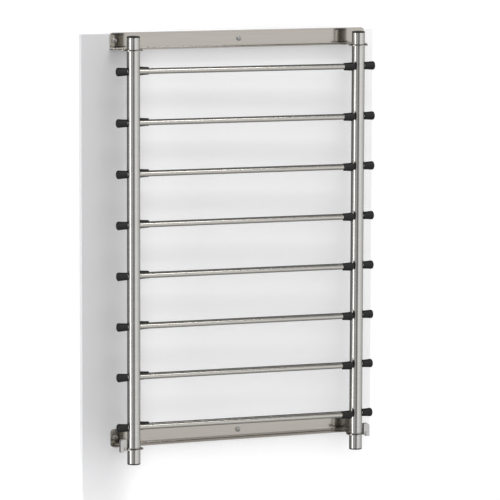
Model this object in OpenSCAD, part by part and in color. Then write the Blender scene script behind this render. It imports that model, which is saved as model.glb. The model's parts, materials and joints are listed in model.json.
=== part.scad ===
// Wall-mounted swing-out drying rack, in stainless steel.
// Two sheet brackets on the wall carry two upright tubes. Each tube turns in its brackets and carries
// eight rods, so that it swings out from the wall as a gate. The left gate hangs in front of the right one.
// X runs along the wall, Y into the wall and Z up. The wall is the plane y = 0, and the origin lies in it,
// at the centre of the rectangle of the four corner screws.

/* [Overall] */
// Distance between the axes of the two posts
post_gap = 550; // [400:1:760]
// Height between the screw lines of the two brackets
bracket_gap = 912; // [700:1:1200]
// Distance of the post axes from the wall
axis_d = 57; // [45:0.5:80]

/* [Wall brackets] */
// Thickness of the bracket sheet
sheet_t = 2; // [1.5:0.1:3]
// Height of the strip that lies on the wall
strip_h = 38; // [30:1:50]
// How far a strip runs past the post axes
strip_end = 37; // [35:0.5:60]
// Radius of the strip's upper corners
strip_corner_r = 7; // [2:0.5:12]
// How far the flange stands out from the wall
flange_d = 26; // [18:0.5:30]
// Radius of the flange's free corners
flange_corner_r = 5; // [1:0.5:8]
// Radius inside the bend between strip and flange
bend_r = 1.5; // [0.5:0.1:3]
// Radius of the ear around a post
ear_r = 22; // [20:0.5:28]
// Radius of the hollow fillet between ear and flange
ear_fillet_r = 10; // [4:0.5:14]

/* [Wall screws] */
// Distance of the end screws from the post axes, outwards
screw_end = 27; // [20:0.5:32]
// Radius of a screw's thread
screw_r = 2.4; // [2:0.1:3]
// How much thicker than the thread the plain neck under the head is, in radius
screw_neck = 0.35; // [0.2:0.05:0.6]
// Radius of a screw's head
screw_head_r = 5.7; // [4:0.1:7]
// Height of a screw's head
screw_head_h = 3.2; // [2:0.1:5]
// Length of a screw behind the wall's surface
screw_depth = 38; // [25:1:60]
// Length of a screw's point
screw_point = 4; // [2:0.5:8]
// Length of the slots of a screw's cross recess
screw_slot_l = 7; // [4:0.1:7.5]
// Width of the slots of a screw's cross recess
screw_slot_w = 1.2; // [0.8:0.1:2]
// Depth of a screw's cross recess
screw_slot_d = 1.6; // [0.8:0.1:2.5]

/* [Posts] */
// Outside radius of a post's tube
post_r = 15; // [12.5:0.5:18]
// Wall of a post's tube
post_wall = 1.5; // [1:0.1:2]
// How far a post's tube rises above the upper screw line
post_over = 10.5; // [0:0.5:40]
// How far a post's tube runs below the lower screw line
post_under = 51.5; // [35:0.5:80]
// Thickness of an end plug's rim
plug_rim_t = 3; // [1.5:0.1:5]
// Height of the plug's dome above its rim
plug_dome_h = 1.4; // [0.5:0.1:3]
// Length of the plug inside the tube
plug_spigot = 14; // [8:0.5:25]
// Length of the plug's lead-in chamfer
plug_lead = 2; // [1:0.5:4]

/* [Rods] */
// Number of rods on each post
rod_count = 8; // [4:1:8]
// Height between neighbouring rods
rod_pitch = 116.4; // [90:0.1:150]
// Height of the lowest rod above the lower screw line
rod_first = 31; // [28:0.5:60]
// Outside radius of a rod
rod_r = 6; // [4.5:0.1:8]
// Wall of a rod's tube
rod_wall = 1; // [0.8:0.1:1.5]
// Gap between a rod's capped end and the axis of the far post
tip_gap = 16; // [15:0.5:30]
// Gap between a stub's cap and its own post
stub_gap = 0.5; // [0.3:0.1:8]
// Gap between the crossed gates
gate_gap = 0.6; // [0.4:0.1:3]

/* [Caps] */
// Length of a rod cap
cap_l = 25; // [20:0.5:30]
// Radius of a cap at its closed end
cap_r = 10; // [8:0.1:11]
// Radius of a cap at its mouth
cap_mouth_r = 8.8; // [7.5:0.1:9.5]
// Thickness of a cap's closed end
cap_end_t = 3; // [2:0.1:6]
// Radius of the rounding at a cap's closed end
cap_round_r = 4.4; // [1:0.1:5]
// Size of the chamfer round a cap's mouth
cap_lip = 0.6; // [0.2:0.1:1]

/* [Bearings] */
// Wall of the bush between ear and post
bush_wall = 1; // [0.8:0.1:1.5]
// Radius of the bush's collar
bush_collar_r = 18.6; // [18:0.1:20]
// Thickness of the bush's collar
bush_collar_t = 1; // [0.8:0.1:2]
// Outside radius of the ring that carries a post on its lower bush
ring_r = 17.8; // [17:0.1:19]
// Thickness of that ring
ring_t = 1.2; // [1:0.1:2]
// Depth of the ring's groove in the post
groove_d = 0.7; // [0.5:0.1:0.9]
// Width of the opening in the ring
ring_opening = 9; // [6:0.5:14]

/* [Ear clips] */
// Width of a clip along the ear's rim
clip_w = 11; // [8:0.5:16]
// Height of a clip above the ear
clip_h = 22; // [12:0.5:26]
// How far a clip stands out past the ear's rim
clip_out = 11.5; // [8:0.5:14]
// How far the clip's outer leg hangs below the ear
clip_drop = 6; // [4:0.5:12]
// Radius of the clip's rounded outer shoulder
clip_round_r = 6.5; // [2:0.5:8]
// Thickness of the jaw that grips the ear from below
clip_jaw_t = 2.4; // [1.5:0.1:4]
// Width of the slot between jaw and leg
clip_slot_w = 1.4; // [0.8:0.1:2]
// How far the slot reaches up above the ear
clip_slot_rise = 4; // [1:0.5:8]
// Thickness of the jaw outside the ear's rim
clip_web = 1.4; // [0.8:0.1:2.5]

/* [Clearances] */
// Radial clearance of a post in its bushes
post_fit = 0.06; // [0.02:0.01:0.1]
// Clearance of parts that are fixed to each other
seat_fit = 0.02; // [0.01:0.01:0.05]
// Clearance between parts that move past each other
move_fit = 0.4; // [0.3:0.1:1]
// Gap between the ring and the bush's collar that it turns on
thrust_fit = 0.1; // [0.05:0.01:0.2]
// Radial clearance of a wall screw in its hole
screw_fit = 0.4; // [0.2:0.1:0.8]

/* [Hidden] */
$fn = 64;
eps = 0.01;
// How far a fillet's circle cuts past the lines it touches, so that they meet in a clean edge
bite = 0.05;
level = bracket_gap / 2;
bush_r = post_r + post_fit;
ear_hole_r = bush_r + bush_wall;
ear_z = -strip_h / 2 + sheet_t;
screw_neck_r = screw_r + screw_neck;
screw_hole_r = screw_neck_r + screw_fit;
screw_dome_h = 0.55 * screw_head_h;
post_z0 = -level - post_under;
post_z1 = level + post_over;
post_bore_r = post_r - post_wall;
plug_r = post_bore_r - seat_fit;
stub_out = post_r + stub_gap + cap_l;
rod_z0 = -level + rod_first;
rod_x0 = cap_end_t - stub_out;
rod_x1 = post_gap - tip_gap - cap_end_t;
ring_z = -level + ear_z + bush_collar_t + thrust_fit;
gate_angle = asin((rod_r + cap_r + gate_gap) / post_gap);
clip_x0 = bush_collar_r + move_fit;
clip_x1 = ear_r + clip_out;
clip_slot_x = ear_r + seat_fit + clip_web;
fillet_y = axis_d - flange_d - ear_fillet_r;
fillet_x = sqrt(pow(ear_r + ear_fillet_r, 2) - pow(fillet_y, 2));
neck_share = ear_r / (ear_r + ear_fillet_r);

steel = [0.80, 0.80, 0.79];
bright = [0.74, 0.75, 0.76];
black = [0.10, 0.10, 0.11];
nylon = [0.20, 0.20, 0.21];
grey = [0.66, 0.67, 0.68];

// ---- shared shapes ----

// A flat outline, w wide and h high above its base line, with its two upper corners rounded.
module round_top_sheet(w, h, r) {
    translate([-w / 2, 0])
        square([w, h - r]);
    translate([-w / 2 + r, 0])
        square([w - 2 * r, h]);
    for (s = [-1, 1])
        translate([s * (w / 2 - r), h - r])
            circle(r = r);
}

// The ear around one post, with its neck and the hollow fillets that run it into the flange.
module ear_outline() {
    circle(r = ear_r);
    difference() {
        polygon([
            [-fillet_x, axis_d - flange_d + eps],
            [fillet_x, axis_d - flange_d + eps],
            [fillet_x, axis_d - flange_d],
            [neck_share * fillet_x, neck_share * fillet_y],
            [0, 0],
            [-neck_share * fillet_x, neck_share * fillet_y],
            [-fillet_x, axis_d - flange_d]
        ]);
        for (s = [-1, 1])
            translate([s * fillet_x, fillet_y])
                circle(r = ear_fillet_r + bite);
    }
}

// One bracket about its own screw line: a strip on the wall and a flange with two ears along its lower edge.
module bracket() {
    length = post_gap + 2 * strip_end;
    difference() {
        union() {
            translate([0, 0, -strip_h / 2])
                rotate([90, 0, 0])
                    linear_extrude(height = sheet_t)
                        round_top_sheet(length, strip_h, strip_corner_r);
            translate([0, 0, -strip_h / 2])
                mirror([0, 1, 0])
                    linear_extrude(height = sheet_t)
                        round_top_sheet(length, flange_d, flange_corner_r);
            translate([0, 0, -strip_h / 2])
                linear_extrude(height = sheet_t)
                    for (s = [-1, 1])
                        translate([s * post_gap / 2, -axis_d])
                            ear_outline();
            bend_fillet(length);
        }
        for (s = [-1, 1])
            translate([s * post_gap / 2, -axis_d, -strip_h / 2 - 1])
                cylinder(h = sheet_t + 2, r = ear_hole_r);
        for (x = screw_places())
            translate([x, 1, 0])
                rotate([90, 0, 0])
                    cylinder(h = sheet_t + 2, r = screw_hole_r);
    }
}

// The small inside radius of the sheet's bend.
module bend_fillet(length) {
    translate([-length / 2, -sheet_t, ear_z])
        rotate([90, 0, 90])
            linear_extrude(height = length)
                difference() {
                    translate([-bend_r, -eps])
                        square([bend_r + eps, bend_r + eps]);
                    translate([-bend_r, bend_r])
                        circle(r = bend_r + bite / 5);
                }
}

// Where the three screws of one strip stand.
function screw_places() = [-post_gap / 2 - screw_end, 0, post_gap / 2 + screw_end];

// One wall screw, its head towards -Y and its seat on the strip's face.
module wall_screw() {
    difference() {
        rotate([90, 0, 0])
            rotate_extrude()
                polygon([
                    [0, sheet_t + screw_head_h],
                    for (a = [80 : -16 : 0])
                        [
                            screw_head_r * cos(a),
                            sheet_t + screw_head_h - screw_dome_h * (1 - sin(a))
                        ],
                    [screw_head_r, sheet_t + seat_fit],
                    [screw_neck_r, sheet_t + seat_fit],
                    [screw_neck_r, 0],
                    [screw_r, 0],
                    [screw_r, screw_point - screw_depth],
                    [0, -screw_depth]
                ]);
        for (a = [0, 90])
            translate([0, -sheet_t - screw_head_h, 0])
                rotate([0, a, 0])
                    cube([screw_slot_l, 2 * screw_slot_d, screw_slot_w], center = true);
    }
}

// One gate's own axes: the post's axis is Z and the rods run out along +X.
module place_gate(side) {
    if (side == "left")
        translate([-post_gap / 2, -axis_d, 0])
            rotate([0, 0, -gate_angle])
                children();
    if (side == "right")
        translate([post_gap / 2, -axis_d, 0])
            rotate([0, 0, 180 - gate_angle])
                children();
}

// Height of rod number i, counted from the lowest.
function rod_z(i) = rod_z0 + (i - 1) * rod_pitch;

// ---- sub-parts ----

module top_bracket() {
    color(steel)
        translate([0, 0, level])
            bracket();
}

module bottom_bracket() {
    color(steel)
        translate([0, 0, -level])
            bracket();
}

// Six equal screws, each a solid of its own.
module wall_screws() {
    color(bright)
        for (z = [-level, level], x = screw_places())
            translate([x, 0, z])
                wall_screw();
}

// Four equal collared bushes, one in each ear.
module ear_bushes() {
    color(nylon)
        for (z = [-level, level], s = [-1, 1])
            translate([s * post_gap / 2, -axis_d, z + ear_z])
                rotate_extrude()
                    polygon([
                        [bush_r, -sheet_t],
                        [ear_hole_r - seat_fit, -sheet_t],
                        [ear_hole_r - seat_fit, seat_fit],
                        [bush_collar_r, seat_fit],
                        [bush_collar_r, bush_collar_t],
                        [bush_r, bush_collar_t]
                    ]);
}

// The spring clip on the outer rim of a lower ear. X points away from the rack's middle.
module ear_clip_profile() {
    difference() {
        union() {
            translate([clip_x0, -sheet_t - clip_jaw_t])
                square([clip_x1 - clip_x0, clip_h + sheet_t + clip_jaw_t - clip_round_r]);
            translate([clip_x0, 0])
                square([clip_x1 - clip_round_r - clip_x0, clip_h]);
            translate([clip_x1 - clip_round_r, clip_h - clip_round_r])
                circle(r = clip_round_r);
            translate([clip_slot_x + clip_slot_w, -sheet_t - clip_drop])
                square([clip_x1 - clip_slot_x - clip_slot_w, clip_drop + sheet_t]);
        }
        translate([clip_slot_x, -sheet_t - clip_drop - 1])
            square([clip_slot_w, clip_drop + sheet_t + clip_slot_rise + 1]);
    }
}

module ear_clip() {
    difference() {
        translate([0, clip_w / 2, 0])
            rotate([90, 0, 0])
                linear_extrude(height = clip_w)
                    ear_clip_profile();
        translate([0, 0, -sheet_t - seat_fit])
            cylinder(h = sheet_t + 2 * seat_fit, r = ear_r + seat_fit);
        translate([0, 0, -sheet_t - clip_drop - 1])
            cylinder(h = clip_drop + sheet_t + clip_h + 2, r = clip_x0);
    }
}

module left_ear_clip() {
    color(grey)
        translate([-post_gap / 2, -axis_d, ear_z - level])
            mirror([1, 0, 0])
                ear_clip();
}

module right_ear_clip() {
    color(grey)
        translate([post_gap / 2, -axis_d, ear_z - level])
            ear_clip();
}

// A post: a tube with a pair of holes for each rod and a groove for its carrying ring.
module post(side) {
    color(steel)
        place_gate(side)
            difference() {
                translate([0, 0, post_z0])
                    cylinder(h = post_z1 - post_z0, r = post_r);
                translate([0, 0, post_z0 - 1])
                    cylinder(h = post_z1 - post_z0 + 2, r = post_bore_r);
                for (i = [1 : rod_count])
                    translate([-post_r - 1, 0, rod_z(i)])
                        rotate([0, 90, 0])
                            cylinder(h = 2 * post_r + 2, r = rod_r + seat_fit);
                translate([0, 0, ring_z - seat_fit])
                    difference() {
                        cylinder(h = ring_t + 2 * seat_fit, r = post_r + 1);
                        translate([0, 0, -1])
                            cylinder(h = ring_t + 3, r = post_r - groove_d);
                    }
            }
}

// The two equal plugs of a post, the lower one upside down.
module post_plugs(side) {
    color(black)
        place_gate(side) {
            translate([0, 0, post_z1 + seat_fit])
                post_plug();
            translate([0, 0, post_z0 - seat_fit])
                mirror([0, 0, 1])
                    post_plug();
        }
}

module post_plug() {
    rotate_extrude()
        polygon([
            [0, -plug_spigot],
            [plug_r - plug_lead / 2, -plug_spigot],
            [plug_r, -plug_spigot + plug_lead],
            [plug_r, 0],
            [post_r, 0],
            [post_r, plug_rim_t],
            for (a = [10 : 16 : 90])
                [post_r * cos(a), plug_rim_t + plug_dome_h * sin(a)]
        ]);
}

// The open ring in a post's groove, which turns on the lower bush and carries the gate.
module carrying_ring(side) {
    color(bright)
        place_gate(side)
            translate([0, 0, ring_z])
                difference() {
                    cylinder(h = ring_t, r = ring_r);
                    translate([0, 0, -1])
                        cylinder(h = ring_t + 2, r = post_r - groove_d + seat_fit);
                    translate([0, -ring_opening / 2, -1])
                        cube([ring_r + 1, ring_opening, ring_t + 2]);
                }
}

module rod(side, i) {
    color(steel)
        place_gate(side)
            translate([rod_x0, 0, rod_z(i)])
                rotate([0, 90, 0])
                    difference() {
                        cylinder(h = rod_x1 - rod_x0, r = rod_r);
                        translate([0, 0, -1])
                            cylinder(h = rod_x1 - rod_x0 + 2, r = rod_r - rod_wall);
                    }
}

// A flared cap whose seat is its origin and whose closed end points along +Z.
module rod_cap() {
    mouth = cap_end_t - cap_l;
    turn = cap_end_t - cap_round_r;
    rotate_extrude()
        polygon([
            [0, seat_fit],
            [rod_r + seat_fit, seat_fit],
            [rod_r + seat_fit, mouth],
            [cap_mouth_r - cap_lip, mouth],
            [cap_mouth_r, mouth + cap_lip],
            for (a = [0 : 15 : 90])
                [
                    cap_r - cap_round_r + cap_round_r * cos(a),
                    turn + cap_round_r * sin(a)
                ],
            [0, cap_end_t]
        ]);
}

module stub_cap(side, i) {
    color(black)
        place_gate(side)
            translate([rod_x0, 0, rod_z(i)])
                rotate([0, -90, 0])
                    rod_cap();
}

module tip_cap(side, i) {
    color(black)
        place_gate(side)
            translate([rod_x1, 0, rod_z(i)])
                rotate([0, 90, 0])
                    rod_cap();
}

top_bracket();
bottom_bracket();
wall_screws();
ear_bushes();
left_ear_clip();
right_ear_clip();
for (side = ["left", "right"]) {
    post(side);
    post_plugs(side);
    carrying_ring(side);
    for (i = [1 : rod_count]) {
        rod(side, i);
        stub_cap(side, i);
        tip_cap(side, i);
    }
}
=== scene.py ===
"""Swing-out drying rack in stainless steel, dressed and lit as a studio picture.

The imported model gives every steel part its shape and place. This file gives each surface its
finish, makes the moulded rubber caps, the end plugs and the weld seams in detail, and sets the
studio and the camera.
All lengths are in metres: X runs along the wall, Y into the wall and Z up.
"""

import json
import logging
import math
from collections.abc import Iterable, Mapping, Sequence
from dataclasses import dataclass, field
from enum import Enum

import bmesh
import bpy
from mathutils import Matrix, Vector

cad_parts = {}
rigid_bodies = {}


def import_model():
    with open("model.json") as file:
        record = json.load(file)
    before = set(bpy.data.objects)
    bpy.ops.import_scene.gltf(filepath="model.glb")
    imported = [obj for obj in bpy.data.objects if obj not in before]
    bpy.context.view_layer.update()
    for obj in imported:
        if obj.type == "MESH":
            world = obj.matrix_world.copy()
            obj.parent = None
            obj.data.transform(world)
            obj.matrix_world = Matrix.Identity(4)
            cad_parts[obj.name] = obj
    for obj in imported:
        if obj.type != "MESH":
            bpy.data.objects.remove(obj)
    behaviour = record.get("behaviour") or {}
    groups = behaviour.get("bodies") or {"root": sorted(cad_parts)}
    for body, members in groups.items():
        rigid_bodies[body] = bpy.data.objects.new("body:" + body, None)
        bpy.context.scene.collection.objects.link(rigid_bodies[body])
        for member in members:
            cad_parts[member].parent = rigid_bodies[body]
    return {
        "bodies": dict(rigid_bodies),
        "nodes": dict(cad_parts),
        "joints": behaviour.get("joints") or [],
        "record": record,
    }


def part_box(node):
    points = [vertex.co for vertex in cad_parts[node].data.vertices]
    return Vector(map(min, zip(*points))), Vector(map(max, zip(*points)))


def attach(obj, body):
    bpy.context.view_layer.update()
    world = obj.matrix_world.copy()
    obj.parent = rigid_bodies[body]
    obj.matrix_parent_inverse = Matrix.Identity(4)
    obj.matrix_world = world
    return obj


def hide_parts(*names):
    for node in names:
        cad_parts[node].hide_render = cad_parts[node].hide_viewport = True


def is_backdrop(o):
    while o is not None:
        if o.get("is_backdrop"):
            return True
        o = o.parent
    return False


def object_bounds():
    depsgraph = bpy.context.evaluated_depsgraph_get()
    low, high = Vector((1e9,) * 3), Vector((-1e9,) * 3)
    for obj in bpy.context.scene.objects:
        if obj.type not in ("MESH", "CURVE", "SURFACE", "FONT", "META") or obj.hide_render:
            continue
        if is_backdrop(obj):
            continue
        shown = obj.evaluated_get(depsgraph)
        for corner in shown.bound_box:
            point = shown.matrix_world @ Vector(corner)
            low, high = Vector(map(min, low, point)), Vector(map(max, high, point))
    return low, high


MM = 0.001

# Between these two values lies nearly all of a noise pattern, which only seldom reaches 0 or 1.
NOISE_LOW = 0.3
NOISE_HIGH = 0.7

# The type names by which a tree's own shader and output are found again.
SHADER = "BSDF_PRINCIPLED"
OUTPUT = "OUTPUT_MATERIAL"

Colour = tuple[float, float, float, float]
Table = tuple[tuple[float, float], ...]

log = logging.getLogger("drying_rack")


# --------------------------------------------------------------------------------------------------
# Named options
# --------------------------------------------------------------------------------------------------


class Side(Enum):
    """Which post a gate turns on."""

    LEFT = "left"
    RIGHT = "right"

    @property
    def sign(self) -> int:
        """-1 for the left post, which stands at negative X, and 1 for the right one."""
        return -1 if self is Side.LEFT else 1


class Body(Enum):
    """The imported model's bodies that a detailed piece can ride on."""

    LEFT_GATE = "left_gate"
    RIGHT_GATE = "right_gate"

    @staticmethod
    def of_gate(side: Side) -> "Body":
        """The body of the gate on one side."""
        return Body.LEFT_GATE if side is Side.LEFT else Body.RIGHT_GATE


class Grain(Enum):
    """The way a steel surface was worked, as stretch factors for its pattern along X, Y and Z."""

    LENGTHWISE = (0.02, 1.0, 1.0)
    ROUND_THE_TUBE = (0.05, 0.05, 1.0)
    BLASTED = (1.0, 1.0, 1.0)


# --------------------------------------------------------------------------------------------------
# Small helpers
# --------------------------------------------------------------------------------------------------


def linear(hex_colour: str) -> Colour:
    """Turn an sRGB hex colour into linear light.

    Args:
        hex_colour: six hex digits, with or without a leading hash sign.

    Returns:
        Red, green and blue, each from 0 to 1, and an alpha of 1.
    """
    digits = hex_colour.lstrip("#")
    values = []
    for start in (0, 2, 4):
        v = int(digits[start : start + 2], 16) / 255
        values.append(v / 12.92 if v <= 0.04045 else ((v + 0.055) / 1.055) ** 2.4)
    return (values[0], values[1], values[2], 1.0)


def grey(value: float) -> Colour:
    """A linear grey of one value, opaque."""
    return (value, value, value, 1.0)


def add_node(
    tree: bpy.types.NodeTree,
    kind: str,
    settings: Mapping[str | int, object] | None = None,
    links: Mapping[str | int, bpy.types.NodeSocket] | None = None,
) -> bpy.types.Node:
    """Add one node to a tree.

    Args:
        tree: the tree that gets the node.
        kind: the node's Blender type name.
        settings: values, each for an input socket or else for a property of the node. An input
            goes by its name, or by its number where several share a name.
        links: output sockets of other nodes, by the input that each goes into.

    Returns:
        The new node.
    """
    node = tree.nodes.new(kind)
    for key, value in (settings or {}).items():
        if isinstance(key, int) or key in node.inputs:
            node.inputs[key].default_value = value
        else:
            setattr(node, key, value)
    for key, source in (links or {}).items():
        tree.links.new(source, node.inputs[key])
    return node


def find_node(tree: bpy.types.NodeTree, node_type: str) -> bpy.types.Node:
    """The first node of one type in a tree."""
    return next(node for node in tree.nodes if node.type == node_type)


def ramp_stops(node: bpy.types.Node, stops: Sequence[tuple[float, Colour]]) -> None:
    """Set a colour ramp's stops.

    Args:
        node: the ramp node.
        stops: position and colour of each stop, from the lowest position up.
    """
    elements = node.color_ramp.elements
    while len(elements) < len(stops):
        elements.new(0.5)
    for element, (position, colour) in zip(elements, stops):
        element.position = position
        element.color = colour


def bearing_stops(table: Table) -> list[tuple[float, Colour]]:
    """Ramp stops for tones by bearing, with -180 degrees at position 0 and 180 at 1."""
    return [((degrees + 180) / 360, grey(tone)) for degrees, tone in table]


def height_stops(table: Table) -> list[tuple[float, Colour]]:
    """Ramp stops for tones by height, with straight down at position 0 and straight up at 1."""
    return [((math.sin(math.radians(degrees)) + 1) / 2, grey(tone)) for degrees, tone in table]


def outwards(azimuth_deg: float, elevation_deg: float) -> Vector:
    """The direction from the rack out to a place in the room.

    Args:
        azimuth_deg: its bearing, 0 in front of the rack and 90 on the rack's right.
        elevation_deg: its height above the horizon.

    Returns:
        A vector of length 1.
    """
    a, e = math.radians(azimuth_deg), math.radians(elevation_deg)
    return Vector((math.sin(a) * math.cos(e), -math.cos(a) * math.cos(e), math.sin(e)))


def link_object(name: str, data: bpy.types.ID) -> bpy.types.Object:
    """Put an object in the scene.

    Args:
        name: the object's name.
        data: its mesh, light or camera.

    Returns:
        The object.
    """
    thing = bpy.data.objects.new(name, data)
    bpy.context.scene.collection.objects.link(thing)
    return thing


def close_shape(name: str, shape: bmesh.types.BMesh, angle_deg: float) -> bpy.types.Mesh:
    """Turn a finished shape into a mesh.

    Args:
        name: the mesh's name.
        shape: the shape, which is used up.
        angle_deg: edges sharper than this stay sharp, and all else is shaded smooth.

    Returns:
        The mesh.
    """
    mesh = bpy.data.meshes.new(name)
    shape.to_mesh(mesh)
    shape.free()
    mesh.shade_smooth()
    mesh.set_sharp_from_angle(angle=math.radians(angle_deg))
    return mesh


def lathe(name: str, profile: Sequence[tuple[float, float]], turns: int = 96) -> bpy.types.Mesh:
    """Turn an outline about Z.

    Args:
        name: the mesh's name.
        profile: radius and height of each corner, in order, with both ends on the axis.
        turns: how many steps go round.

    Returns:
        A closed mesh.
    """
    shape = bmesh.new()
    rings: list[list[bmesh.types.BMVert]] = []
    for radius, height in profile:
        on_axis = radius < 0.0001 * MM
        ring = []
        for k in range(1 if on_axis else turns):
            a = 2 * math.pi * k / turns
            ring.append(shape.verts.new((radius * math.cos(a), radius * math.sin(a), height)))
        rings.append(ring)
    for low, high in zip(rings, rings[1:]):
        for k in range(turns):
            n = (k + 1) % turns
            if len(low) == 1:
                shape.faces.new((low[0], high[n], high[k]))
            elif len(high) == 1:
                shape.faces.new((low[k], low[n], high[0]))
            else:
                shape.faces.new((low[k], low[n], high[n], high[k]))
    bmesh.ops.recalc_face_normals(shape, faces=shape.faces)
    return close_shape(name, shape, 35)


def arc(
    centre: tuple[float, float], radius: float, start_deg: float, end_deg: float, steps: int
) -> list[tuple[float, float]]:
    """Points of a circular arc.

    Args:
        centre: the arc's centre.
        radius: the arc's radius.
        start_deg: angle of the first point.
        end_deg: angle of the last point.
        steps: how many steps the arc takes.

    Returns:
        One point more than there are steps.
    """
    points = []
    for k in range(steps + 1):
        a = math.radians(start_deg + (end_deg - start_deg) * k / steps)
        points.append((centre[0] + radius * math.cos(a), centre[1] + radius * math.sin(a)))
    return points


# --------------------------------------------------------------------------------------------------
# Finishes
# --------------------------------------------------------------------------------------------------


@dataclass(frozen=True)
class Finish:
    """A surface finish that builds one material."""

    name: str
    colour: str
    roughness: float

    def begin(self) -> tuple[bpy.types.NodeTree, bpy.types.Node, bpy.types.Material]:
        """Start the material.

        Returns:
            Its node tree, its Principled shader and the material itself.
        """
        material = bpy.data.materials.new(self.name)
        material.use_nodes = True
        tree = material.node_tree
        tree.nodes.clear()
        shader = add_node(
            tree,
            "ShaderNodeBsdfPrincipled",
            {"Base Color": linear(self.colour), "Roughness": self.roughness},
        )
        add_node(tree, "ShaderNodeOutputMaterial", links={"Surface": shader.outputs["BSDF"]})
        return tree, shader, material

    def build(self) -> bpy.types.Material:
        """Build the material."""
        return self.begin()[2]


@dataclass(frozen=True)
class GroundSteel(Finish):
    """Stainless steel with the fine marks of a belt, a die or a blast, and broader scuffs.

    The marks show as a grain that shifts the gloss and the tone a little, all one way. Real ones
    are finer than the mark_mm that they are drawn at, which is coarse enough to show.
    """

    grain: Grain = Grain.LENGTHWISE
    mark_mm: float = 1.6
    tone_change: float = 0.06
    gloss_change: float = 0.08
    depth_mm: float = 0.012
    scuff_marks: float = 14.0
    scuff_share: float = 0.45
    glossiest: float = 0.03

    def pattern(self, tree: bpy.types.NodeTree, size_mm: float, detail: float) -> bpy.types.Node:
        """Noise stretched along the grain.

        Args:
            tree: the material's tree.
            size_mm: width of one mark, across the grain.
            detail: how many finer layers the noise has.

        Returns:
            The noise node.
        """
        place = add_node(tree, "ShaderNodeTexCoord")
        stretch = add_node(
            tree,
            "ShaderNodeMapping",
            {"Scale": [1 / (size_mm * MM) * s for s in self.grain.value]},
            {"Vector": place.outputs["Object"]},
        )
        return add_node(
            tree,
            "ShaderNodeTexNoise",
            {"Scale": 1.0, "Detail": detail, "Roughness": 0.6},
            {"Vector": stretch.outputs["Vector"]},
        )

    def build(self) -> bpy.types.Material:
        """Build the material.

        Returns:
            The material.
        """
        tree, shader, material = self.begin()
        shader.inputs["Metallic"].default_value = 1.0
        fine = self.pattern(tree, self.mark_mm, 3.0)
        broad = self.pattern(tree, self.mark_mm * self.scuff_marks, 2.0)
        both = add_node(
            tree,
            "ShaderNodeMix",
            {"data_type": "FLOAT", "Factor": self.scuff_share},
            {"A": fine.outputs["Fac"], "B": broad.outputs["Fac"]},
        )
        base = linear(self.colour)[:3]
        dark = tuple(c * (1 - self.tone_change) for c in base) + (1.0,)
        light = tuple(min(1.0, c * (1 + self.tone_change)) for c in base) + (1.0,)
        tone = add_node(tree, "ShaderNodeValToRGB", links={"Fac": both.outputs["Result"]})
        ramp_stops(tone, [(NOISE_LOW, dark), (NOISE_HIGH, light)])
        tree.links.new(tone.outputs["Color"], shader.inputs["Base Color"])
        gloss = add_node(
            tree,
            "ShaderNodeMapRange",
            {
                "From Min": NOISE_LOW,
                "From Max": NOISE_HIGH,
                "To Min": max(self.glossiest, self.roughness - self.gloss_change / 2),
                "To Max": self.roughness + self.gloss_change / 2,
            },
            {"Value": both.outputs["Result"]},
        )
        tree.links.new(gloss.outputs["Result"], shader.inputs["Roughness"])
        relief = add_node(
            tree,
            "ShaderNodeBump",
            {"Strength": 0.5, "Distance": self.depth_mm * MM},
            {"Height": fine.outputs["Fac"]},
        )
        tree.links.new(relief.outputs["Normal"], shader.inputs["Normal"])
        return material


@dataclass(frozen=True)
class FoldedSheetSteel(GroundSteel):
    """Ground sheet whose folded flange carries painted shade, which makes it darker.

    The flange is told by its depth in front of the wall, between two blurred borders.
    """

    flange_painted_shade: float = 0.7
    flange_from_mm: float = 3.0
    flange_to_mm: float = 30.0
    blur_from_mm: float = 0.6
    blur_to_mm: float = 3.0
    reach_mm: float = 60.0

    def build(self) -> bpy.types.Material:
        """Build the material.

        Returns:
            The material.
        """
        material = super().build()
        tree = material.node_tree
        shader = find_node(tree, SHADER)
        ground = shader.inputs["Base Color"].links[0].from_socket
        place = add_node(tree, "ShaderNodeTexCoord")
        split = add_node(
            tree, "ShaderNodeSeparateXYZ", links={"Vector": place.outputs["Object"]}
        )
        depth = add_node(
            tree,
            "ShaderNodeMapRange",
            {"From Min": 0.0, "From Max": -self.reach_mm * MM},
            {"Value": split.outputs["Y"]},
        )
        mask = add_node(tree, "ShaderNodeValToRGB", links={"Fac": depth.outputs["Result"]})
        borders = (
            (self.flange_from_mm - self.blur_from_mm, 0.0),
            (self.flange_from_mm, 1.0),
            (self.flange_to_mm, 1.0),
            (self.flange_to_mm + self.blur_to_mm, 0.0),
        )
        ramp_stops(mask, [(at_mm / self.reach_mm, grey(share)) for at_mm, share in borders])
        # The colour inputs of this node are numbers 6 and 7, and its colour output is number 2.
        # Painted shade: the flange's colour is multiplied down to darken it.
        tone = add_node(
            tree,
            "ShaderNodeMix",
            {"data_type": "RGBA", "blend_type": "MULTIPLY", 7: grey(self.flange_painted_shade)},
            {"Factor": mask.outputs["Color"], 6: ground},
        )
        tree.links.new(tone.outputs[2], shader.inputs["Base Color"])
        return material


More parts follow.
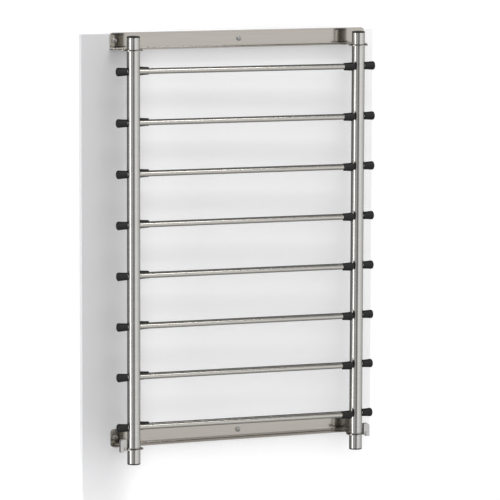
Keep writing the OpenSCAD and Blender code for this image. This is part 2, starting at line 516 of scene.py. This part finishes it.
@dataclass(frozen=True)
class MouldedPolymer(Finish):
    """Rubber or plastic out of a spark-eroded mould.

    It has an even fine skin, with a slightly paler bloom in patches.
    """

    skin_mm: float = 0.5
    bloom: str = "2c2d2f"
    bloom_mm: float = 9.0
    depth_mm: float = 0.03
    ior: float = 1.5
    bloom_from: float = 0.38
    bloom_to: float = 0.72
    glossier: float = 0.08
    duller: float = 0.1

    def build(self) -> bpy.types.Material:
        """Build the material.

        Returns:
            The material.
        """
        tree, shader, material = self.begin()
        shader.inputs["IOR"].default_value = self.ior
        place = add_node(tree, "ShaderNodeTexCoord")
        skin = add_node(
            tree,
            "ShaderNodeTexNoise",
            {"Scale": 1 / (self.skin_mm * MM), "Detail": 2.0, "Roughness": 0.55},
            {"Vector": place.outputs["Object"]},
        )
        patches = add_node(
            tree,
            "ShaderNodeTexNoise",
            {"Scale": 1 / (self.bloom_mm * MM), "Detail": 3.0, "Roughness": 0.5},
            {"Vector": place.outputs["Object"]},
        )
        tone = add_node(tree, "ShaderNodeValToRGB", links={"Fac": patches.outputs["Fac"]})
        ramp_stops(
            tone, [(self.bloom_from, linear(self.colour)), (self.bloom_to, linear(self.bloom))]
        )
        tree.links.new(tone.outputs["Color"], shader.inputs["Base Color"])
        gloss = add_node(
            tree,
            "ShaderNodeMapRange",
            {"To Min": self.roughness - self.glossier, "To Max": self.roughness + self.duller},
            {"Value": patches.outputs["Fac"]},
        )
        tree.links.new(gloss.outputs["Result"], shader.inputs["Roughness"])
        relief = add_node(
            tree,
            "ShaderNodeBump",
            {"Strength": 0.6, "Distance": self.depth_mm * MM},
            {"Height": skin.outputs["Fac"]},
        )
        tree.links.new(relief.outputs["Normal"], shader.inputs["Normal"])
        return material


@dataclass(frozen=True)
class PaintedBoard(Finish):
    """Matt emulsion rolled on a flat backdrop: a soft stipple that only just breaks the light."""

    stipple_mm: float = 2.2
    depth_mm: float = 0.05
    glow: float = 0.0

    def show_front_only(self, tree: bpy.types.NodeTree, shader: bpy.types.Node) -> None:
        """Make a backdrop one-sided, so that the rack's back can be seen from behind it.

        Its inner side and the faces that look away from the rack let the light through.

        Args:
            tree: the material's tree.
            shader: the shader of its front.
        """
        surface = add_node(tree, "ShaderNodeNewGeometry")
        split = add_node(
            tree, "ShaderNodeSeparateXYZ", links={"Vector": surface.outputs["True Normal"]}
        )
        rear = add_node(
            tree,
            "ShaderNodeMath",
            {"operation": "GREATER_THAN", 1: 0.5},
            {0: split.outputs["Y"]},
        )
        behind = add_node(
            tree,
            "ShaderNodeMath",
            {"operation": "MAXIMUM"},
            {0: rear.outputs["Value"], 1: surface.outputs["Backfacing"]},
        )
        clear = add_node(tree, "ShaderNodeBsdfTransparent")
        pick = add_node(
            tree,
            "ShaderNodeMixShader",
            links={0: behind.outputs["Value"], 1: shader.outputs["BSDF"], 2: clear.outputs["BSDF"]},
        )
        tree.links.new(pick.outputs["Shader"], find_node(tree, OUTPUT).inputs["Surface"])

    def build(self) -> bpy.types.Material:
        """Build the material.

        Returns:
            The material.
        """
        tree, shader, material = self.begin()
        self.show_front_only(tree, shader)
        shader.inputs["Specular IOR Level"].default_value = 0.2
        if self.glow > 0:
            shader.inputs["Emission Color"].default_value = grey(1.0)
            shader.inputs["Emission Strength"].default_value = self.glow
        place = add_node(tree, "ShaderNodeTexCoord")
        stipple = add_node(
            tree,
            "ShaderNodeTexNoise",
            {"Scale": 1 / (self.stipple_mm * MM), "Detail": 2.0},
            {"Vector": place.outputs["Object"]},
        )
        relief = add_node(
            tree,
            "ShaderNodeBump",
            {"Strength": 0.3, "Distance": self.depth_mm * MM},
            {"Height": stipple.outputs["Fac"]},
        )
        tree.links.new(relief.outputs["Normal"], shader.inputs["Normal"])
        return material


@dataclass(frozen=True)
class PaintedLightPanel(PaintedBoard):
    """Matt board with a painted pool of light: it glows, though no lamp is in it.

    Its painted light comes up from nothing between fade_from and fade_to along X, and low_glow
    more is added downwards between low_from and low_to along Z.
    """

    fade_from: float = -0.34
    fade_to: float = -0.20
    low_glow: float = 0.27
    low_from: float = -0.36
    low_to: float = -0.66

    def build(self) -> bpy.types.Material:
        """Build the material.

        Returns:
            The material.
        """
        material = super().build()
        tree = material.node_tree
        place = add_node(tree, "ShaderNodeTexCoord")
        split = add_node(
            tree, "ShaderNodeSeparateXYZ", links={"Vector": place.outputs["Object"]}
        )
        spans = (
            ("X", self.fade_from, self.fade_to, self.glow),
            ("Z", self.low_from, self.low_to, self.low_glow),
        )
        across, down = (
            add_node(
                tree,
                "ShaderNodeMapRange",
                {
                    "interpolation_type": "SMOOTHSTEP",
                    "From Min": start,
                    "From Max": end,
                    "To Max": most,
                },
                {"Value": split.outputs[axis]},
            )
            for axis, start, end, most in spans
        )
        both = add_node(
            tree,
            "ShaderNodeMath",
            {"operation": "ADD"},
            {0: across.outputs["Result"], 1: down.outputs["Result"]},
        )
        shader = find_node(tree, SHADER)
        # Painted light: the board's glow, dim along its left edge and stronger towards the floor.
        tree.links.new(both.outputs["Value"], shader.inputs["Emission Strength"])
        return material


@dataclass
class Finishes:
    """Every material of the rack, built once."""

    # Austenitic stainless sheet, belt-ground along its length and then polished: mirrors the room
    # in soft streaks; its flange is darker by painted shade.
    strip: Finish = FoldedSheetSteel(
        "stainless_sheet_belt_ground",
        "b5b0a9",
        0.13,
        grain=Grain.LENGTHWISE,
        mark_mm=1.8,
        tone_change=0.05,
        gloss_change=0.04,
        depth_mm=0.0015,
    )
    # Welded stainless tube, wheel-polished round its girth: crisp upright highlights, faint rings.
    tube: Finish = GroundSteel(
        "stainless_tube_wheel_polished",
        "cdccc8",
        0.17,
        grain=Grain.ROUND_THE_TUBE,
        mark_mm=2.4,
        tone_change=0.05,
        gloss_change=0.06,
        depth_mm=0.008,
    )
    # Thin stainless tube, drawn bright through a die: long faint drawing lines, even sheen.
    rod: Finish = GroundSteel(
        "stainless_tube_bright_drawn",
        "c6c3bd",
        0.18,
        grain=Grain.LENGTHWISE,
        mark_mm=1.5,
        tone_change=0.05,
        gloss_change=0.03,
        depth_mm=0.0015,
    )
    # Stainless screw, cold headed and bare: smaller, duller grey points of light.
    screw: Finish = GroundSteel(
        "stainless_screw_cold_headed",
        "b4b3b0",
        0.26,
        grain=Grain.BLASTED,
        mark_mm=0.8,
        tone_change=0.08,
        gloss_change=0.1,
        depth_mm=0.02,
    )
    # Stainless pressing, bead blasted: an even pale grey with hardly any reflection.
    clip: Finish = GroundSteel(
        "stainless_pressing_bead_blasted",
        "d0cfcd",
        0.42,
        grain=Grain.BLASTED,
        mark_mm=0.6,
        tone_change=0.07,
        gloss_change=0.08,
        depth_mm=0.03,
    )
    # Weld metal left as it cooled and brushed by hand: a slightly straw-tinted dull line.
    weld: Finish = GroundSteel(
        "stainless_weld_hand_brushed",
        "b3aea4",
        0.34,
        grain=Grain.BLASTED,
        mark_mm=0.7,
        tone_change=0.1,
        gloss_change=0.12,
        depth_mm=0.05,
    )
    # Synthetic rubber, moulded: near black, broad soft highlight, faint grey bloom.
    rubber: Finish = MouldedPolymer(
        "epdm_rubber_moulded",
        "0e0f0e",
        0.50,
        skin_mm=0.7,
        bloom="1a1b1a",
        bloom_mm=9.0,
        depth_mm=0.04,
        ior=1.48,
    )
    # Polyethylene, injection moulded: near black, a little tighter highlight than the rubber.
    plug: Finish = MouldedPolymer(
        "polyethylene_moulded",
        "161718",
        0.4,
        skin_mm=0.5,
        bloom="232426",
        bloom_mm=14.0,
        depth_mm=0.02,
        ior=1.51,
    )
    # Polyamide, injection moulded: black bush with a dry even skin.
    bush: Finish = MouldedPolymer(
        "polyamide_moulded",
        "1b1b1c",
        0.45,
        skin_mm=0.5,
        bloom="262627",
        bloom_mm=12.0,
        depth_mm=0.02,
        ior=1.53,
    )
    made: dict[str, bpy.types.Material] = field(default_factory=dict)

    def get(self, finish: Finish) -> bpy.types.Material:
        """Find a finish's material, or build it on first use.

        Args:
            finish: the finish.

        Returns:
            Its material.
        """
        if finish.name not in self.made:
            self.made[finish.name] = finish.build()
        return self.made[finish.name]

    def dress(self, thing: bpy.types.Object, finish: Finish) -> None:
        """Give an object one finish on all its faces.

        Args:
            thing: the object.
            finish: its finish.
        """
        material = self.get(finish)
        if not thing.material_slots:
            thing.data.materials.append(material)
        for place in thing.material_slots:
            place.material = material
        log.info("%s: %s", thing.name, finish.name)


# --------------------------------------------------------------------------------------------------
# Sub-assemblies
# --------------------------------------------------------------------------------------------------


@dataclass
class Rack:
    """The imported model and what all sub-assemblies share."""

    frame: Mapping[str, object]
    finishes: Finishes

    def dress_node(self, name: str, finish: Finish) -> None:
        """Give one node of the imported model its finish."""
        self.finishes.dress(self.frame["nodes"][name], finish)

    def add(
        self,
        name: str,
        mesh: bpy.types.Mesh,
        place: Matrix,
        body: Body,
        finish: Finish,
        slot: str,
        stands_for: str | None = None,
    ) -> None:
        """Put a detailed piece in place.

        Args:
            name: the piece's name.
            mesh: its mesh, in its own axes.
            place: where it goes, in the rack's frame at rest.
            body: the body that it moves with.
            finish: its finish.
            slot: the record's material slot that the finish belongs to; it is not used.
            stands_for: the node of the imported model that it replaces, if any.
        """
        thing = link_object(name, mesh)
        thing.matrix_world = place
        self.finishes.dress(thing, finish)
        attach(thing, body.value)
        if stands_for:
            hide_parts(stands_for)


@dataclass
class WallBrackets:
    """The two sheet brackets with their screws, bushes and ear clips."""

    rack: Rack

    def dress(self) -> None:
        """Give the brackets and what is fixed to them their finishes."""
        finishes = self.rack.finishes
        table = {
            "top_bracket": finishes.strip,
            "bottom_bracket": finishes.strip,
            "wall_screws": finishes.screw,
            "ear_bushes": finishes.bush,
            "left_ear_clip": finishes.clip,
            "right_ear_clip": finishes.clip,
        }
        for name, finish in table.items():
            self.rack.dress_node(name, finish)


@dataclass
class RodCap:
    """One flared rubber cap, with its mouth towards -Z and its seat on the rod's end at z = 0."""

    length: float = 25.0 * MM
    end_radius: float = 10.0 * MM
    mouth_radius: float = 8.8 * MM
    bore_radius: float = 6.02 * MM
    bore_chamfer: float = 0.5 * MM
    bore_chamfer_depth: float = 1.2 * MM
    seat_gap: float = 0.02 * MM
    end_thickness: float = 3.0 * MM
    round_radius: float = 4.4 * MM
    round_deg: float = 80.0
    lip_radius: float = 0.7 * MM
    flare_power: float = 1.5
    crown: float = 0.5 * MM
    crown_share: float = 0.8
    seam_height: float = 0.12 * MM
    seam_half_width: float = 0.35 * MM

    def outline(self) -> list[tuple[float, float]]:
        """Draw the cap's outline, from the seat round by the mouth to the crowned end.

        Returns:
            Radius and height of each corner.
        """
        mouth = self.end_thickness - self.length
        top = self.end_thickness - self.crown
        lip = (self.mouth_radius - self.lip_radius, mouth + self.lip_radius)
        shoulder = (self.end_radius - self.round_radius, top - self.round_radius)
        points = [
            (0.0, self.seat_gap),
            (self.bore_radius, self.seat_gap),
            (self.bore_radius, mouth + self.bore_chamfer_depth),
            (self.bore_radius + self.bore_chamfer, mouth),
        ]
        points += arc(lip, self.lip_radius, -90, 0, 5)
        flare_steps = 9
        for k in range(1, flare_steps):
            share = k / flare_steps
            radius = self.mouth_radius + share**self.flare_power * (
                self.end_radius - self.mouth_radius
            )
            points.append((radius, lip[1] + share * (shoulder[1] - lip[1])))
        points += arc(shoulder, self.round_radius, 0, self.round_deg, 9)
        reach = points[-1][0]
        for share in (0.66, 0.33, 0.0):
            lift = self.crown * (1 - share**2) * self.crown_share
            points.append((reach * share, top + lift))
        return points

    def mesh(self) -> bpy.types.Mesh:
        """Make the cap's mesh, with the faint seam of its two-part mould.

        Returns:
            The mesh.
        """
        made = lathe("rod_cap", self.outline())
        skin_from = self.bore_radius + 1.0 * MM
        for corner in made.vertices:
            x, y, z = corner.co
            radius = math.hypot(x, y)
            on_side = radius >= skin_from and z <= self.end_thickness - self.round_radius
            if on_side and abs(x) < self.seam_half_width:
                grown = min(self.end_radius, radius + self.seam_height)
                corner.co = (x * grown / radius, y * grown / radius, z)
        return made


@dataclass
class EndPlug:
    """One plug of a post, its dome towards +Z and the tube's end at z = 0."""

    tube_radius: float = 15.0 * MM
    bore_radius: float = 13.48 * MM
    rim: float = 3.0 * MM
    rim_chamfer: float = 0.25 * MM
    dome: float = 1.4 * MM
    dome_power: float = 2.2
    spigot: float = 14.0 * MM
    spigot_taper: float = 1.0 * MM
    spigot_taper_length: float = 2.0 * MM
    edge_radius: float = 0.8 * MM

    def outline(self) -> list[tuple[float, float]]:
        """Draw the plug's outline, from the foot of the spigot up to the top of the dome.

        Returns:
            Radius and height of each corner.
        """
        points = [
            (0.0, -self.spigot),
            (self.bore_radius - self.spigot_taper, -self.spigot),
            (self.bore_radius, -self.spigot + self.spigot_taper_length),
            (self.bore_radius, 0.0),
            (self.tube_radius - self.rim_chamfer, 0.0),
            (self.tube_radius, self.rim_chamfer),
        ]
        edge = (self.tube_radius - self.edge_radius, self.rim - self.edge_radius)
        points += arc(edge, self.edge_radius, 0, 60, 5)
        reach, foot = points[-1]
        rise = self.rim + self.dome - foot
        dome_steps = 8
        for k in range(1, dome_steps + 1):
            share = 1 - k / dome_steps
            points.append((reach * share, foot + rise * (1 - share**self.dome_power)))
        return points

    def mesh(self) -> bpy.types.Mesh:
        """The plug's mesh."""
        return lathe("end_plug", self.outline())


@dataclass
class WeldSeam:
    """The bead round a rod where it leaves its post. The post's axis is Z and the rod's is +X."""

    tube_radius: float = 15.0 * MM
    rod_radius: float = 6.0 * MM
    bead: float = 0.55 * MM
    ripple: float = 0.1 * MM
    ripples: int = 24
    steps: int = 96
    sides: int = 8

    def ring(self, k: int) -> list[Vector]:
        """Find the corners of the bead's section at one step round the rod.

        Args:
            k: the step.

        Returns:
            One corner for each of the bead's sides.
        """
        a = 2 * math.pi * k / self.steps
        thick = self.bead + self.ripple * math.sin(self.ripples * a)
        y, z = self.rod_radius * math.cos(a), self.rod_radius * math.sin(a)
        x = math.sqrt(self.tube_radius**2 - y * y)
        out = Vector((0, math.cos(a), math.sin(a)))
        away = Vector((x, y, 0)).normalized()
        away = (away - out * away.dot(out)).normalized()
        corners = []
        for s in range(self.sides):
            b = 2 * math.pi * s / self.sides
            corners.append(Vector((x, y, z)) + (out * math.cos(b) + away * math.sin(b)) * thick)
        return corners

    def mesh(self) -> bpy.types.Mesh:
        """Make a thin rippled bead along the saddle-shaped line where rod and post meet.

        Returns:
            The mesh.
        """
        shape = bmesh.new()
        rings = [[shape.verts.new(c) for c in self.ring(k)] for k in range(self.steps)]
        for k in range(self.steps):
            low, high = rings[k], rings[(k + 1) % self.steps]
            for s in range(self.sides):
                n = (s + 1) % self.sides
                shape.faces.new((low[s], low[n], high[n], high[s]))
        bmesh.ops.recalc_face_normals(shape, faces=shape.faces)
        return close_shape("weld_seam", shape, 80)


@dataclass
class Gate:
    """A post with its rods, caps, plugs and carrying ring, as one swinging gate.

    The post's axis stands axis_d in front of the wall. The rods' line comes lean nearer to or
    further from the wall over the length of post_gap. A cap's seat lies at each end of a rod:
    stub_seat behind the post's axis and tip_seat in front of it.
    """

    rack: Rack
    side: Side
    cap_mesh: bpy.types.Mesh
    plug_mesh: bpy.types.Mesh
    weld_mesh: bpy.types.Mesh
    post_gap: float = 550.0 * MM
    axis_d: float = 57.0 * MM
    rod_count: int = 8
    lean: float = 16.6 * MM
    stub_seat: float = 37.5 * MM
    tip_seat: float = 531.0 * MM

    @property
    def axes(self) -> Matrix:
        """The gate's own axes in the rack's frame: Z up the post and X along the rods."""
        angle = -math.asin(self.lean / self.post_gap)
        if self.side is Side.RIGHT:
            angle += math.pi
        place = Matrix.Translation((self.side.sign * self.post_gap / 2, -self.axis_d, 0))
        return place @ Matrix.Rotation(angle, 4, "Z")

    @property
    def body(self) -> Body:
        """The body that the gate is."""
        return Body.of_gate(self.side)

    @property
    def rods(self) -> range:
        """The rods' numbers, from the top one down."""
        return range(1, self.rod_count + 1)

    def name(self, part: str) -> str:
        """A part's name on this gate."""
        return f"{self.side.value}_{part}"

    def rod_height(self, i: int) -> float:
        """Height of rod i's axis, from its node's box."""
        low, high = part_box(self.name(f"rod_{i}"))
        return (low.z + high.z) / 2

    def dress(self) -> None:
        """Give the gate's packed steel parts their finishes."""
        finishes = self.rack.finishes
        self.rack.dress_node(self.name("post"), finishes.tube)
        self.rack.dress_node(self.name("ring"), finishes.screw)
        for i in self.rods:
            self.rack.dress_node(self.name(f"rod_{i}"), finishes.rod)

    def add_caps(self) -> None:
        """Put a detailed rubber cap on both ends of every rod."""
        ends = (("stub_cap", -self.stub_seat, -90), ("tip_cap", self.tip_seat, 90))
        for i in self.rods:
            height = self.rod_height(i)
            for part, along, turn_deg in ends:
                node = self.name(f"{part}_{i}")
                self.rack.add(
                    f"{node}_rubber",
                    self.cap_mesh,
                    self.axes
                    @ Matrix.Translation((along, 0, height))
                    @ Matrix.Rotation(math.radians(turn_deg), 4, "Y"),
                    self.body,
                    self.rack.finishes.rubber,
                    "cap_rubber",
                    node,
                )

    def add_plugs(self) -> None:
        """Close both ends of the post with detailed plugs."""
        node = self.name("post_plugs")
        low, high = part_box(self.name("post"))
        ends = (("upper", high.z, 0.0), ("lower", low.z, math.pi))
        for part, height, turn in ends:
            self.rack.add(
                self.name(f"post_{part}_plug"),
                self.plug_mesh,
                self.axes @ Matrix.Translation((0, 0, height)) @ Matrix.Rotation(turn, 4, "X"),
                self.body,
                self.rack.finishes.plug,
                "plug_plastic",
                node,
            )

    def add_welds(self) -> None:
        """Lay a weld seam round every rod where it leaves the post towards its free end."""
        for i in self.rods:
            self.rack.add(
                self.name(f"weld_{i}"),
                self.weld_mesh,
                self.axes @ Matrix.Translation((0, 0, self.rod_height(i))),
                self.body,
                self.rack.finishes.weld,
                "tube_steel",
            )

    def build(self) -> None:
        """Dress the gate and add its detailed pieces."""
        self.dress()
        self.add_caps()
        self.add_plugs()
        self.add_welds()


# --------------------------------------------------------------------------------------------------
# Studio
# --------------------------------------------------------------------------------------------------


@dataclass
class Softbox:
    """One soft light, aimed at the rack's middle."""

    name: str
    azimuth_deg: float
    elevation_deg: float
    distance: float
    width: float
    height: float
    brightness: float
    colour: str = "ffffff"

    def build(self, aim: Vector) -> None:
        """Hang the light.

        Args:
            aim: the point that it faces.
        """
        data = bpy.data.lights.new(self.name, "AREA")
        data.shape = "RECTANGLE"
        data.size = self.width
        data.size_y = self.height
        data.energy = self.brightness * math.pi * self.width * self.height
        data.color = linear(self.colour)[:3]
        lamp = link_object(self.name, data)
        back = outwards(self.azimuth_deg, self.elevation_deg)
        lamp.location = aim + back * self.distance
        lamp.rotation_euler = (-back).to_track_quat("-Z", "Y").to_euler()
        log.info("light: %s", self.name)


@dataclass
class Studio:
    """Wall, mounting board, floor, lights and the light of the room."""

    finishes: Finishes
    # Pale matt board with a painted pool of light, a glow with no lamp: no gloss, dimmer along
    # its left edge and brighter towards the floor.
    board: Finish = PaintedLightPanel(
        "board_painted_light_pool", "e3e3e4", 0.75, stipple_mm=2.2, depth_mm=0.05, glow=0.34
    )
    # Plaster with white emulsion, rolled: the brightest thing in the room.
    plaster: Finish = PaintedBoard(
        "plaster_white_emulsion", "fcfcfd", 0.85, stipple_mm=3.0, depth_mm=0.05, glow=0.35
    )
    # Screed with pale coating, rolled: a plain floor.
    screed: Finish = PaintedBoard(
        "screed_pale_coating", "e4e4e5", 0.7, stipple_mm=4.0, depth_mm=0.05
    )
    # Midway between the posts, where the lights face.
    aim: tuple[float, float, float] = (0.0, -0.057, 0.0)
    board_left: float = -0.380
    board_right: float = 0.336
    board_top: float = 0.472
    board_front: float = 0.0002
    board_back: float = 0.018
    board_edge: float = 0.0012
    wall_gap: float = 0.06
    wall_half: float = 5.0
    wall_top: float = 4.0
    floor_z: float = -1.25
    floor_front: float = -9.0
    slab_depth: float = 0.1
    slab_edge: float = 0.002
    # Light of the room's walls by bearing in degrees: 0 in front of the rack, 90 on its right
    # side and 180 behind it.
    walls: Table = (
        (-180, 0.16),
        (-110, 0.20),
        (-103, 0.50),
        (-70, 0.50),
        (-30, 0.50),
        (-24, 0.22),
        (-2, 0.22),
        (6, 1.00),
        (35, 1.06),
        (56, 0.84),
        (80, 0.73),
        (100, 0.60),
        (118, 0.47),
        (130, 0.20),
        (180, 0.16),
    )
    # Where the walls' own tones show, by height in degrees: near eye level. Above and below them
    # the open room's tones do.
    wall_band: Table = ((-24, 0.0), (-14, 1.0), (6, 1.0), (16, 0.0))
    # Light of the open room by bearing in degrees.
    open_room: Table = (
        (-180, 0.40),
        (-115, 0.40),
        (-90, 0.95),
        (90, 0.95),
        (115, 0.40),
        (180, 0.40),
    )
    # How the light changes from the floor (-90 degrees) to the ceiling (90).
    heights: Table = (
        (-90, 0.30),
        (-60, 0.50),
        (-35, 0.72),
        (-15, 0.88),
        (-5, 1.00),
        (10, 1.00),
        (25, 0.80),
        (45, 0.55),
        (65, 0.35),
        (90, 0.25),
    )
    softboxes: tuple[Softbox, ...] = (
        Softbox(
            "left_strip_light",
            azimuth_deg=-78.0,
            elevation_deg=0.0,
            distance=2.6,
            width=0.68,
            height=3.0,
            brightness=2.6,
        ),
        Softbox(
            "key_light",
            azimuth_deg=6.0,
            elevation_deg=59.0,
            distance=3.4,
            width=1.8,
            height=0.7,
            brightness=6.0,
        ),
    )

    def slab(self, name: str, low: Vector, high: Vector, finish: Finish, edge: float) -> None:
        """Make a flat stage slab with softened edges, which no reflection shows.

        Args:
            name: its name.
            low: its lowest corner.
            high: its highest corner.
            finish: its finish.
            edge: width of the bevel on its edges.
        """
        shape = bmesh.new()
        bmesh.ops.create_cube(shape, size=1.0)
        size = high - low
        for corner in shape.verts:
            corner.co = Vector(low[i] + (corner.co[i] + 0.5) * size[i] for i in range(3))
        bmesh.ops.bevel(
            shape, geom=list(shape.edges), offset=edge, segments=3, affect="EDGES", profile=0.5
        )
        made = link_object(name, close_shape(name, shape, 40))
        self.finishes.dress(made, finish)
        made.visible_glossy = False
        made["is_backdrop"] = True

    def build_stage(self) -> None:
        """Stand the board in front of the wall, and lay the floor."""
        self.slab(
            "mounting_board",
            Vector((self.board_left, self.board_front, self.floor_z)),
            Vector((self.board_right, self.board_back, self.board_top)),
            self.board,
            self.board_edge,
        )
        back = self.board_back + self.wall_gap
        foot = self.floor_z - self.slab_depth
        self.slab(
            "plaster_wall",
            Vector((-self.wall_half, back, foot)),
            Vector((self.wall_half, back + self.slab_depth, self.wall_top)),
            self.plaster,
            self.slab_edge,
        )
        self.slab(
            "studio_floor",
            Vector((-self.wall_half, self.floor_front, foot)),
            Vector((self.wall_half, back, self.floor_z)),
            self.screed,
            self.slab_edge,
        )

    def build_room(self) -> None:
        """Fill the room with light: a tone by bearing, times one by height."""
        world = bpy.data.worlds.new("studio_room")
        world.use_nodes = True
        tree = world.node_tree
        tree.nodes.clear()
        place = add_node(tree, "ShaderNodeTexCoord")
        split = add_node(
            tree, "ShaderNodeSeparateXYZ", links={"Vector": place.outputs["Generated"]}
        )
        forward = add_node(
            tree,
            "ShaderNodeMath",
            {"operation": "MULTIPLY", 1: -1.0},
            {0: split.outputs["Y"]},
        )
        compass = add_node(
            tree,
            "ShaderNodeMath",
            {"operation": "ARCTAN2"},
            {0: split.outputs["X"], 1: forward.outputs["Value"]},
        )
        bearing = add_node(
            tree,
            "ShaderNodeMapRange",
            {"From Min": -math.pi, "From Max": math.pi},
            {"Value": compass.outputs["Value"]},
        )
        height = add_node(
            tree,
            "ShaderNodeMapRange",
            {"From Min": -1.0, "From Max": 1.0},
            {"Value": split.outputs["Z"]},
        )
        wall_tone, open_tone, band, high_tone = (
            add_node(tree, "ShaderNodeValToRGB", links={"Fac": source.outputs["Result"]})
            for source in (bearing, bearing, height, height)
        )
        ramp_stops(wall_tone, bearing_stops(self.walls))
        ramp_stops(open_tone, bearing_stops(self.open_room))
        ramp_stops(band, height_stops(self.wall_band))
        ramp_stops(high_tone, height_stops(self.heights))
        around = add_node(
            tree,
            "ShaderNodeMix",
            {"data_type": "FLOAT"},
            {
                "Factor": band.outputs["Color"],
                "A": open_tone.outputs["Color"],
                "B": wall_tone.outputs["Color"],
            },
        )
        strength = add_node(
            tree,
            "ShaderNodeMath",
            {"operation": "MULTIPLY"},
            {0: around.outputs["Result"], 1: high_tone.outputs["Color"]},
        )
        sky = add_node(
            tree,
            "ShaderNodeBackground",
            {"Color": grey(1.0)},
            {"Strength": strength.outputs["Value"]},
        )
        add_node(tree, "ShaderNodeOutputWorld", links={"Surface": sky.outputs["Background"]})
        bpy.context.scene.world = world

    def build(self) -> None:
        """Set up the whole studio."""
        self.build_stage()
        self.build_room()
        for softbox in self.softboxes:
            softbox.build(Vector(self.aim))


@dataclass
class StudioCamera:
    """A long lens a little to the left of the rack and above its middle, with no shift."""

    azimuth_deg: float = -21.058
    elevation_deg: float = 7.467
    distance: float = 7.808
    roll_deg: float = 0.183
    lens_mm: float = 244.28
    sensor_mm: float = 36.0
    aim: tuple[float, float, float] = (0.0083, -0.057, -0.0283)
    clip_start: float = 0.1
    clip_end: float = 60.0

    def build(self) -> None:
        """Make the camera and set it as the scene's own."""
        data = bpy.data.cameras.new("studio_camera")
        data.sensor_width = self.sensor_mm
        data.lens = self.lens_mm
        data.clip_start = self.clip_start
        data.clip_end = self.clip_end
        camera = link_object("studio_camera", data)
        back = outwards(self.azimuth_deg, self.elevation_deg)
        level = (-back).to_track_quat("-Z", "Y").to_matrix()
        turn = level @ Matrix.Rotation(math.radians(self.roll_deg), 3, "Z")
        camera.location = Vector(self.aim) + back * self.distance
        camera.rotation_euler = turn.to_euler()
        bpy.context.scene.camera = camera
        log.info("camera at %s", [round(v, 3) for v in camera.location])


def set_display() -> None:
    """Show colours as they are, with no film curve."""
    settings = bpy.context.scene.view_settings
    settings.view_transform = "Standard"
    settings.look = "None"
    settings.exposure = 0.0
    settings.gamma = 1.0


def main() -> None:
    """Build the rack's finishes and pieces, then the studio and the camera."""
    logging.basicConfig(level=logging.INFO, format="%(name)s: %(message)s")
    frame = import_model()
    cad_box = [corner.copy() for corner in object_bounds()]
    set_display()
    StudioCamera().build()
    finishes = Finishes()
    rack = Rack(frame, finishes)
    WallBrackets(rack).dress()
    cap, plug, weld = RodCap().mesh(), EndPlug().mesh(), WeldSeam().mesh()
    for side in Side:
        Gate(rack, side, cap, plug, weld).build()
    Studio(finishes).build()


if __name__ == "__main__":
    main()
